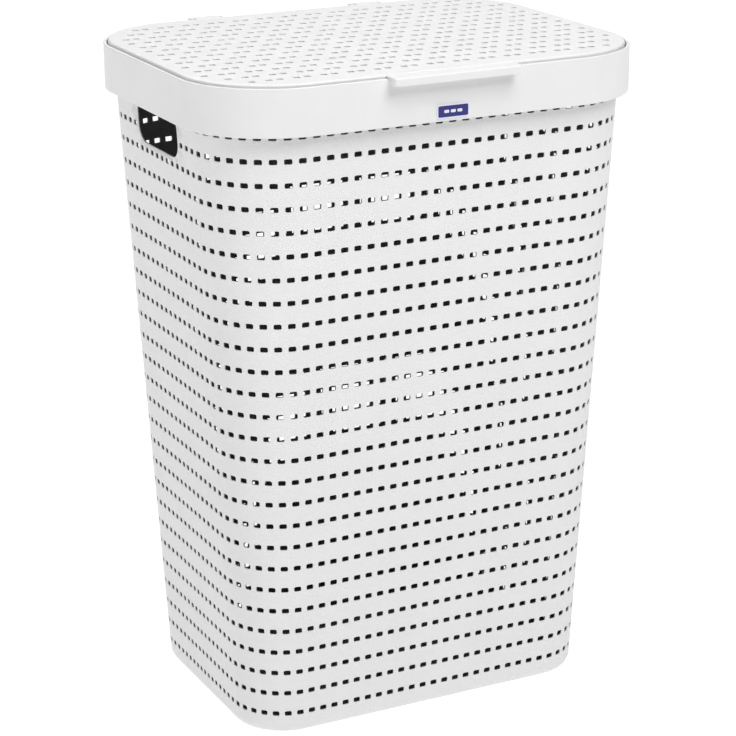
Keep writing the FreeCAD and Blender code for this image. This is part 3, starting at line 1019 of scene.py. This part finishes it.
def make_badge():
    """A blue plate with a raised pale edge and a plain row of dashes that stand for no mark."""
    half_x = BADGE_HIGH[0]
    middle_z = (BADGE_LOW[2] + BADGE_HIGH[2]) / 2
    half_z = (BADGE_HIGH[2] - BADGE_LOW[2]) / 2
    front, back = BADGE_LOW[1], BADGE_HIGH[1]

    def outline(inset, steps=6):
        ring = rounded_outline(half_x - inset, half_z - inset, BADGE_CORNER - inset, steps)
        return [(x, middle_z + z) for (x, z), _ in ring]

    def bevel_face(bm, behind, offset):
        """Rounds the edges of the face that lies within a distance behind the badge's front."""

        def on_face(edge):
            near = all(v.co.y < front + behind for v in edge.verts)
            return near and edge.calc_face_angle(0) > 1

        bevel(bm, on_face, offset, 2)

    bm = bmesh.new()
    front_prism(bm, outline(0.9), front + BADGE_SUNK, back)
    bevel_face(bm, BADGE_SUNK + 0.01, 0.15)
    plate = solid_piece("badge_plate", bm, badge_blue, "basket_and_collar")
    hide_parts("badge")

    bm = bmesh.new()
    outer, inner = outline(0), outline(1.0)
    loops = [(outer, front), (inner, front), (inner, back - 0.1), (outer, back)]
    rings = [[bm.verts.new((x, y, z)) for x, z in ring] for ring, y in loops]
    for near, far in zip(rings, rings[1:] + rings[:1]):
        for i in range(len(near)):
            k = (i + 1) % len(near)
            bm.faces.new([near[i], near[k], far[k], far[i]])
    bevel_face(bm, 0.01, 0.12)
    edge = solid_piece("badge_edge", bm, badge_pale, "basket_and_collar")

    bm = bmesh.new()
    ring = rounded_outline(*DASH_HALF, DASH_CORNER, 4)
    for n in (-1, 0, 1):
        dash = [(x + n * DASH_APART, middle_z + z) for (x, z), _ in ring]
        front_prism(bm, dash, front + 0.02, back - 0.3)
    bevel_face(bm, 0.03, 0.1)
    dashes = solid_piece("badge_dashes", bm, badge_pale, "basket_and_collar")


make_basket()
make_collar()
make_flap()
make_tab()
make_hinges()
make_badge()
for name in ("hinge_pin_left", "hinge_pin_right"):
    pin = frame["nodes"][name]
    pin.data.materials.clear()
    pin.data.materials.append(pin_steel)

# ---------------------------------------------------------------- floor, light and camera

FLOOR_HALF = 150                        # metres; only views from low down see past it
floor_material, _, floor_shader = node_material("floor_paper")
floor_shader.inputs["Base Color"].default_value = (0.15, 0.15, 0.15, 1)
floor_shader.inputs["Roughness"].default_value = 0.9
floor_shader.inputs["Specular IOR Level"].default_value = 0.1
floor_shader.inputs["Emission Color"].default_value = (1, 1, 1, 1)
floor_shader.inputs["Emission Strength"].default_value = 0.98
bm = bmesh.new()
bmesh.ops.create_grid(bm, x_segments=8, y_segments=8, size=FLOOR_HALF)
mesh = bpy.data.meshes.new("floor")
bm.to_mesh(mesh)
bm.free()
mesh.materials.append(floor_material)
floor = bpy.data.objects.new("floor", mesh)
bpy.context.scene.collection.objects.link(floor)

world = bpy.data.worlds.new("studio")
world.use_nodes = True
world.node_tree.nodes["Background"].inputs["Color"].default_value = (1, 1, 1, 1)
world.node_tree.nodes["Background"].inputs["Strength"].default_value = 0.02
bpy.context.scene.world = world


def softbox(name, place, aim, size, power):
    """A rectangular lamp at a place, turned to an aim. Metres and watts."""
    light = bpy.data.lights.new(name, "AREA")
    light.shape = "RECTANGLE"
    light.size, light.size_y = size
    light.energy = power
    lamp = bpy.data.objects.new(name, light)
    lamp.location = place
    lamp.rotation_euler = (Vector(aim) - Vector(place)).to_track_quat("-Z", "Y").to_euler()
    bpy.context.scene.collection.objects.link(lamp)


softbox("top_box", (0.0, -0.2, 2.5), (0, 0, 0.4), (2.4, 2.4), 28)
softbox("front_box", (0.4, -2.0, 2.6), (0, 0, 0.4), (1.6, 1.6), 47)
softbox("left_high_box", (-2.4, -0.3, 2.2), (0, 0, 0.4), (1.8, 1.8), 12.5)
softbox("left_low_box", (-2.8, -0.2, 0.9), (0, 0, 0.3), (1.6, 1.6), 6.5)
softbox("back_box", (0.6, 3.2, 3.0), (0.6, 3.2, 0), (5, 3.5), 100)

camera_data = bpy.data.cameras.new("camera")
camera_data.sensor_width = 36
camera_data.lens = 117.4
camera_data.clip_end = 100
camera = bpy.data.objects.new("camera", camera_data)
yaw, pitch, roll = 0.46241, -0.31790, -0.00721          # radians
camera.matrix_world = (
    Matrix.Translation((-0.9097, -1.8268, 0.9506))
    @ Matrix.Rotation(-yaw, 4, "Z")
    @ Matrix.Rotation(QUARTER_TURN + pitch, 4, "X")
    @ Matrix.Rotation(roll, 4, "Z")
)
bpy.context.scene.collection.objects.link(camera)
bpy.context.scene.camera = camera
bpy.context.scene.view_settings.view_transform = "Standard"
